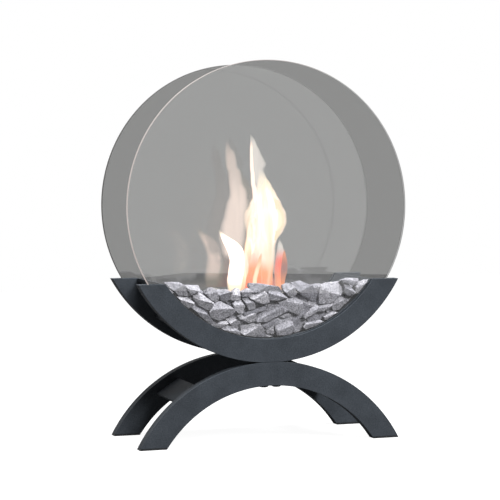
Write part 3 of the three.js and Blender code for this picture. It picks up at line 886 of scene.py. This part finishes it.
def chip_hull(points):
    """The hull of a chip's corners, its edges chipped and its faces cut into small triangles."""
    bm = bmesh.new()
    for point in points:
        bm.verts.new(point * MM)
    bmesh.ops.remove_doubles(bm, verts=bm.verts, dist=CORNER_WELD * MM)
    hull = bmesh.ops.convex_hull(bm, input=bm.verts)
    spare = [g for g in hull["geom_interior"] + hull["geom_unused"] if isinstance(g, bmesh.types.BMVert)]
    bmesh.ops.delete(bm, geom=list(set(spare)), context="VERTS")
    bmesh.ops.dissolve_limit(bm, angle_limit=FLAT_ANGLE, verts=bm.verts, edges=bm.edges)
    bmesh.ops.bevel(
        bm, geom=list(bm.edges), offset=CHIPPED_EDGE * MM, segments=1, affect="EDGES",
        clamp_overlap=True, profile=0.6,
    )
    bmesh.ops.triangulate(bm, faces=bm.faces)
    for _ in range(3):
        long_edges = [e for e in bm.edges if e.calc_length() > LONGEST_EDGE * MM]
        if not long_edges:
            break
        bmesh.ops.subdivide_edges(bm, edges=long_edges, cuts=1)
        bmesh.ops.triangulate(bm, faces=bm.faces)
    bmesh.ops.recalc_face_normals(bm, faces=bm.faces)
    bm.normal_update()
    return bm


def add_rock(heap, points):
    """Adds one chip, with a rough broken skin, to the mesh of its heap."""
    bm = chip_hull(points)
    offset = Vector([random.uniform(0, 9) for _ in range(3)])
    moves = []
    for vertex in bm.verts:
        broad = noise.noise(vertex.co * BROAD_GRAIN + offset)
        fine = noise.noise(vertex.co * FINE_GRAIN + offset)
        moves.append(vertex.normal * (-SKIN_SINK + BROAD_LIFT * broad + FINE_LIFT * fine) * MM)
    for vertex, move in zip(bm.verts, moves):
        vertex.co += move
    mesh = bpy.data.meshes.new("chip")
    bm.to_mesh(mesh)
    bm.free()
    heap.from_mesh(mesh)
    bpy.data.meshes.remove(mesh)


def heap_of(x, y):
    """The heap that a chip at (x, y) belongs to."""
    if x < -FREE_X:
        return "left"
    if x > FREE_X:
        return "right"
    return "front" if y < 0 else "rear"


def stone_bed():
    """The chips against the front pane, the bed behind them and a layer between the two."""
    counts = {"front": 4, "rear": 4, "left": 6, "right": 6}   # CAD nodes that each heap stands for
    heaps = {name: bmesh.new() for name in counts}

    for index, outline in enumerate(FRONT_CHIPS):
        points = front_chip(index, outline)
        middle = sum(points, Vector()) / len(points)
        add_rock(heaps[heap_of(middle.x, FRONT_ROW_Y)], points)

    blocks = (
        (-BED_REACH, -FREE_X, SECOND_ROW_Y, BACK_Y),
        (FREE_X, BED_REACH, SECOND_ROW_Y, BACK_Y),
        (-FREE_X, FREE_X, FREE_Y, BACK_Y),
    )
    backing = (-BACKING_REACH, BACKING_REACH, BACKING_Y, SECOND_ROW_Y)
    groups = [sites_in(*place, BED_PITCH) for place in blocks]
    every = [site for group in groups for site in group]
    backing_sites = sites_in(*backing, BACKING_PITCH)

    for place, group in zip(blocks, groups):
        for site in group:
            points = bed_chip(site, every, walls_of(*place))
            if len(points) > FEWEST_CORNERS:
                add_rock(heaps[heap_of(site.x, site.y)], points)

    for site in backing_sites:
        points = bed_chip(site, backing_sites, walls_of(*backing), BACKING_DROP)
        if len(points) > FEWEST_CORNERS:
            add_rock(heaps[heap_of(site.x, FRONT_ROW_Y)], points)

    for name, bm in heaps.items():
        thing = solid(f"crushed_stone_{name}", bm, STONE)
        smooth(thing, crease=22)
        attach(thing, "root")
        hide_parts(*[f"stones_{name}_{n + 1}" for n in range(counts[name])])


stone_bed()

# --------------------------------------------------
# Flames
# --------------------------------------------------

FLAME_LEVELS = 44
FLAME_ROUND = 36
THINNEST = 0.2       # half the width of a tongue at its tip, in millimetres
OUTLINE_BLUR = 4.5   # how far the rounding of an outline reaches, in millimetres
DEPTH_FOLLOWS = 0.7  # how a tongue's depth follows its width, as a power
SWAY = 2.0           # how far a tongue wanders in Y, in millimetres
SWAY_GRAIN = 0.03

# Outlines as (z, left, right) in millimetres from the foot up, the depth in Y, and the middle in Y
TONGUES = {
    "main": ([(186, 15, 31), (211, 17, 34), (226, 15, 36), (241, 10, 37), (250, 5, 37), (260, -1, 40),
              (270, -3, 49), (282, -6, 54), (294, -6, 53), (308, 1, 46), (320, 8, 39), (332, 12, 32),
              (345, 14, 24), (356, 15, 17)], 11, 20),
    "bridge": ([(186, -17, -7), (205, -15, -5), (220, -12, -1), (235, -10, 3), (250, -7, 9), (265, -4, 16),
                (285, -3, 22), (300, 2, 20)], 7, 18),
    "tip": ([(292, 6, 40), (311, 8, 41), (329, 8, 33), (345, 4, 25), (353, 2, 21), (360, 2, 27),
             (366, 3, 22), (376, 3, 17), (388, 3, 11), (403, 2, 3)], 6, 20),
    "left": ([(186, -30, -14), (205, -32, -11), (219, -30, -8), (232, -28, -8), (242, -30, -8),
              (248, -33, -10), (257, -37, -17), (264, -40, -29), (269, -42, -37), (275, -45, -44)], 8, 15),
    "right": ([(186, 40, 48), (203, 37, 52), (219, 36, 55), (231, 38, 55), (240, 40, 53), (248, 42, 50),
               (262, 44, 45)], 6, 24),
    # The veil is a painted reflection: a faint tongue behind the flame on its left, standing in for the
    # flame's reflection in the rear pane
    "veil": ([(234, -30, -5), (247, -34, -3), (264, -38, 0), (278, -35, 2), (293, -30, 2), (305, -27, 5),
              (320, -22, 3), (338, -23, -4), (368, -28, -12), (391, -27, -23), (396, -26, -24)], 5, 34),
    "soot": ([(196, 44, 46), (206, 42, 49), (217, 42, 52), (228, 43, 52), (238, 45, 50),
              (247, 47, 48)], 2, 13),
    "glow": ([(186, -14, 40), (200, -12, 40), (212, -10, 36), (226, -8, 26), (240, -6, 20), (252, -2, 15),
              (264, 2, 10)], 5, 26),
    "fold": ([(258, 31, 34), (268, 33, 41), (280, 35, 47), (292, 35, 47), (304, 33, 42),
              (318, 30, 34)], 4, 8),
    "spark": ([(296, 7, 13), (320, 4, 11), (340, 2, 8), (360, 1, 6), (380, 1, 5), (394, 2, 4)], 2, 16),
    "lick": ([(186, 4, 10), (198, 2, 8), (208, 3, 9), (218, 6, 12), (230, 10, 15), (244, 14, 16)], 3, 12),
}

# Colours of the glow. A row's strength multiplies its colour, and GLOW keeps what a ramp holds under 1
GLOW = 6.0
EDGE_STRENGTH = 1.1
WHITE_HOT = (1.0, 0.75, 0.63)
PALE_YELLOW = (1.0, 0.84, 0.58)
REFLECTED_ROSE = (1.0, 0.82, 0.72)
PEACH = (1.0, 0.80, 0.66)
ORANGE = (1.0, 0.36, 0.17)
RED = (1.0, 0.17, 0.11)
PINK = (1.0, 0.30, 0.22)
SMOKE = (0.34, 0.20, 0.18)
PALE_GREY = (0.80, 0.74, 0.68)

# Rows of (rise, colour, strength) from foot to tip, the colour of the outline, density and streaks
FLAMES = {
    "glow": ([(0.0, RED, 1.2), (0.4, ORANGE, 1.15), (0.75, PEACH, 1.2), (1.0, PEACH, 1.1)],
             PINK, 0.93, 0.6),
    "main": ([(0.0, PINK, 1.1), (0.16, ORANGE, 1.15), (0.3, PEACH, 1.25), (0.45, WHITE_HOT, 1.9),
              (0.7, WHITE_HOT, 2.3), (1.0, PALE_YELLOW, 1.5)], PALE_YELLOW, 0.97, 0.75),
    "bridge": ([(0.0, ORANGE, 1.2), (0.2, PALE_YELLOW, 1.5), (0.38, PEACH, 1.3), (0.6, PALE_YELLOW, 2.0),
                (0.85, WHITE_HOT, 2.0), (1.0, WHITE_HOT, 2.0)], ORANGE, 0.92, 0.75),
    # The veil's rose glow paints the flame's reflection in the rear pane
    "veil": ([(0.0, REFLECTED_ROSE, 1.2), (0.45, REFLECTED_ROSE, 1.2), (0.75, REFLECTED_ROSE, 0.9), (1.0, REFLECTED_ROSE, 0.75)],
             REFLECTED_ROSE, 0.42, 0.0),
    "tip": ([(0.0, PALE_YELLOW, 1.8), (0.3, PALE_GREY, 1.2), (1.0, PALE_GREY, 1.2)],
            PALE_GREY, 0.55, 0.05),
    "left": ([(0.0, PINK, 1.1), (0.13, PALE_YELLOW, 1.4), (0.32, WHITE_HOT, 5.0),
              (0.75, WHITE_HOT, 4.8), (1.0, PALE_YELLOW, 1.4)], PEACH, 0.95, 0.1),
    "right": ([(0.0, PALE_YELLOW, 1.3), (0.15, ORANGE, 1.1), (0.55, RED, 1.15),
               (0.84, PALE_GREY, 1.0), (1.0, PALE_GREY, 1.0)], PALE_GREY, 0.93, 0.1),
    "soot": ([(0.0, ORANGE, 0.9), (0.5, SMOKE, 1.0), (1.0, ORANGE, 0.9)], ORANGE, 0.85, 0.0),
    "spark": ([(0.0, WHITE_HOT, 1.7), (1.0, WHITE_HOT, 1.5)], WHITE_HOT, 0.85, 0.0),
    "fold": ([(0.0, PALE_YELLOW, 1.0), (1.0, PALE_YELLOW, 1.0)], PALE_YELLOW, 0.88, 0.0),
    "lick": ([(0.0, PALE_YELLOW, 1.3), (0.5, PALE_YELLOW, 1.2), (1.0, ORANGE, 1.1)], ORANGE, 0.75, 0.2),
}


def glowing(colour, strength):
    return tuple(c * strength / GLOW for c in colour)


def flame_material(name, rows, edge, density, streaks):
    """Glowing gas. It is thin at its outline, which glows in edge's colour, and at both ends."""
    s = Shader(name)
    heart = s.attribute("heart")
    rise = s.attribute("rise")
    streak = s.noise(58, 3, 0.6, s.stretched(1.0, 1.0, 0.14), 0.8)
    outline = glowing(edge, EDGE_STRENGTH)
    up = s.ramp(rise, *[(at, glowing(colour, strength)) for at, colour, strength in rows], smooth=True)
    across = s.ramp(heart, (0.0, 0.0), (0.7, 1.0), smooth=True)
    wisp = s.ramp(streak, (0.34, 1.0), (0.58, 0.0), smooth=True)
    cool = s.mix(s.maths("MULTIPLY", wisp, streaks), up, outline)
    s.set(Base_Color=(0, 0, 0, 1), Roughness=1.0, Specular_IOR_Level=0.0, Emission_Strength=GLOW)
    s.link(s.mix(across, outline, cool), "Emission Color")
    thin = s.ramp(heart, (0.05, 0.0), (0.45, 0.4), (0.9, 1.0), smooth=True)
    ends = s.ramp(rise, (0.0, 0.15), (0.06, 1.0), (0.84, 0.95), (1.0, 0.0), smooth=True)
    veil = s.ramp(streak, (0.3, 0.7), (0.62, 1.0))
    alpha = s.maths("MULTIPLY", s.maths("MULTIPLY", thin, ends), veil)
    s.link(s.maths("MULTIPLY", alpha, density), "Alpha")
    s.material.cycles.emission_sampling = "NONE"
    return s.material


def eased(z, heights, edge):
    """An outline's edge at height z, halfway between its straight and its blurred course."""
    window = np.exp(-0.5 * ((heights - z) / OUTLINE_BLUR) ** 2) + 1e-9
    return 0.5 * np.interp(z, heights, edge) + 0.5 * float((window * edge).sum() / window.sum())


def tongue(name, material):
    """One tongue of flame. Its corners know how near they are to its heart, and how far up."""
    rows, depth, middle = TONGUES[name]
    heights, lefts, rights = np.array(rows, float).T
    widest = (rights - lefts).max() / 2
    bm = bmesh.new()
    heart = bm.verts.layers.float.new("heart")
    rise = bm.verts.layers.float.new("rise")
    rings = []
    for i in range(FLAME_LEVELS + 1):
        share = i / FLAME_LEVELS
        z = heights[0] + (heights[-1] - heights[0]) * share
        left, right = eased(z, heights, lefts), eased(z, heights, rights)
        half = max((right - left) / 2, THINNEST)
        deep = depth * (half / widest) ** DEPTH_FOLLOWS
        sway = SWAY * noise.noise(Vector((z * SWAY_GRAIN, middle, 0)))
        ring = []
        for j in range(FLAME_ROUND):
            angle = 2 * math.pi * j / FLAME_ROUND
            x = (left + right) / 2 + half * math.cos(angle)
            y = middle + sway + deep * math.sin(angle)
            vertex = bm.verts.new((x * MM, y * MM, z * MM))
            vertex[heart] = abs(math.sin(angle))
            vertex[rise] = share
            ring.append(vertex)
        rings.append(ring)
    for ring, following in zip(rings, rings[1:]):
        join_loops(bm, ring, following)
    bm.faces.new(list(reversed(rings[0])))
    bm.faces.new(rings[-1])
    thing = solid(f"flame_{name}", bm, material)
    smooth(thing)
    thing.visible_diffuse = False
    thing.visible_shadow = False
    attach(thing, "burner")
    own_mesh(thing)


for name, values in FLAMES.items():
    tongue(name, flame_material(f"flame_{name}", *values))

# --------------------------------------------------
# Floor, world, lamps and camera
# --------------------------------------------------

WHITE = (1.0, 1.0, 1.0)
FILL = (0.07, 0.07, 0.07)                  # what the surroundings add to the shadows
THROUGH_GLASS = (0.19, 0.19, 0.19 * 0.985)   # the grey backdrop that the photograph shows in the panes
FLOOR_PAINT = (0.14, 0.14, 0.14)
FLOOR_SHOWN = 0.96                         # what the camera sees of the floor besides its paint

# The floor's corners. The edges that run past the object keep it out of the panes' reflections
FLOOR_CORNERS = ((-6.0, -7.72), (5.22, 0.55), (6.0, 0.56), (0.887, 3.457), (-6.0, -3.08))

# Place, target, width in metres and power in watts
LAMPS = {
    "key": ((0.95, -2.45, 2.0), (0, 0, 0.25), 1.1, 132),
    "top": ((0.15, -0.35, 2.6), (0, 0, 0.2), 1.0, 145),
}

# The camera, fitted to the photograph: its place, its turns in radians and its lens
CAMERA_PLACE = Vector((-766.545, -2366.653, 368.299)) * MM
CAMERA_YAW = 0.311678
CAMERA_PITCH = -0.048817
CAMERA_ROLL = 0.0058178
FOCAL_PIXELS = 1887.675
PHOTO_PIXELS = 500
SENSOR = 36


def build_world():
    """White to the camera and in reflections, grey through glass, and a faint fill for the rest."""
    world = bpy.data.worlds.new("studio")
    world.use_nodes = True
    bpy.context.scene.world = world
    tree = Tree(world.node_tree)
    tree.nodes.clear()
    path = tree.nodes.new("ShaderNodeLightPath").outputs
    mirrored = tree.maths("GREATER_THAN", path["Glossy Depth"], 0.5)
    seen = tree.maths("MAXIMUM", path["Is Camera Ray"], mirrored)
    bounced = tree.maths("GREATER_THAN", path["Diffuse Depth"], 0.5)
    level = tree.mix(path["Is Transmission Ray"], FILL, THROUGH_GLASS)
    colour = tree.mix(bounced, tree.mix(seen, level, WHITE), FILL)
    background = tree.nodes.new("ShaderNodeBackground")
    tree.links.new(colour, background.inputs["Color"])
    output = tree.nodes.new("ShaderNodeOutputWorld")
    tree.links.new(background.outputs[0], output.inputs[0])


def build_floor():
    """A pale floor that shows white to the camera and keeps the object's soft shadow."""
    material = bpy.data.materials.new("pale_floor")
    material.use_nodes = True
    tree = Tree(material.node_tree)
    tree.nodes.clear()
    path = tree.nodes.new("ShaderNodeLightPath").outputs
    paint = tree.nodes.new("ShaderNodeBsdfDiffuse")
    tree.feed(paint.inputs["Color"], FLOOR_PAINT)
    glow = tree.nodes.new("ShaderNodeEmission")
    tree.feed(glow.inputs["Color"], WHITE)
    tree.feed(glow.inputs["Strength"], tree.maths("MULTIPLY", path["Is Camera Ray"], FLOOR_SHOWN))
    both = tree.nodes.new("ShaderNodeAddShader")
    tree.links.new(paint.outputs[0], both.inputs[0])
    tree.links.new(glow.outputs[0], both.inputs[1])
    output = tree.nodes.new("ShaderNodeOutputMaterial")
    tree.links.new(both.outputs[0], output.inputs[0])
    material.cycles.emission_sampling = "NONE"
    mesh = bpy.data.meshes.new("floor")
    mesh.from_pydata([(x, y, 0) for x, y in FLOOR_CORNERS], [], [tuple(range(len(FLOOR_CORNERS)))])
    floor = add_object("floor", mesh, material)


def area_light(name, place, target, size, power):
    data = bpy.data.lights.new(name, "AREA")
    data.shape = "DISK"
    data.size = size
    data.energy = power
    lamp = bpy.data.objects.new(name, data)
    bpy.context.scene.collection.objects.link(lamp)
    lamp.location = place
    lamp.visible_transmission = False   # the panes cast no shadow, so its light is counted already
    lamp.visible_glossy = False
    direction = Vector(target) - Vector(place)
    lamp.rotation_euler = direction.to_track_quat("-Z", "Y").to_euler()


def build_camera():
    """The photograph's viewpoint: a long lens, a little above and to the left of the front."""
    flat = math.cos(CAMERA_PITCH)
    forward = Vector((math.sin(CAMERA_YAW) * flat, math.cos(CAMERA_YAW) * flat, math.sin(CAMERA_PITCH)))
    level = Vector((math.cos(CAMERA_YAW), -math.sin(CAMERA_YAW), 0))
    down = forward.cross(level)
    right = math.cos(CAMERA_ROLL) * level + math.sin(CAMERA_ROLL) * down
    under = -math.sin(CAMERA_ROLL) * level + math.cos(CAMERA_ROLL) * down
    data = bpy.data.cameras.new("camera")
    data.sensor_width = SENSOR
    data.sensor_fit = "HORIZONTAL"
    data.lens = SENSOR * (FOCAL_PIXELS / PHOTO_PIXELS)
    data.clip_end = 100
    camera = bpy.data.objects.new("camera", data)
    bpy.context.scene.collection.objects.link(camera)
    turn = Matrix((right, -under, -forward)).transposed()
    camera.matrix_world = Matrix.Translation(CAMERA_PLACE) @ turn.to_4x4()
    bpy.context.scene.camera = camera


build_world()
build_floor()
for name, values in LAMPS.items():
    area_light(name, *values)
build_camera()
bpy.context.scene.view_settings.view_transform = "Standard"
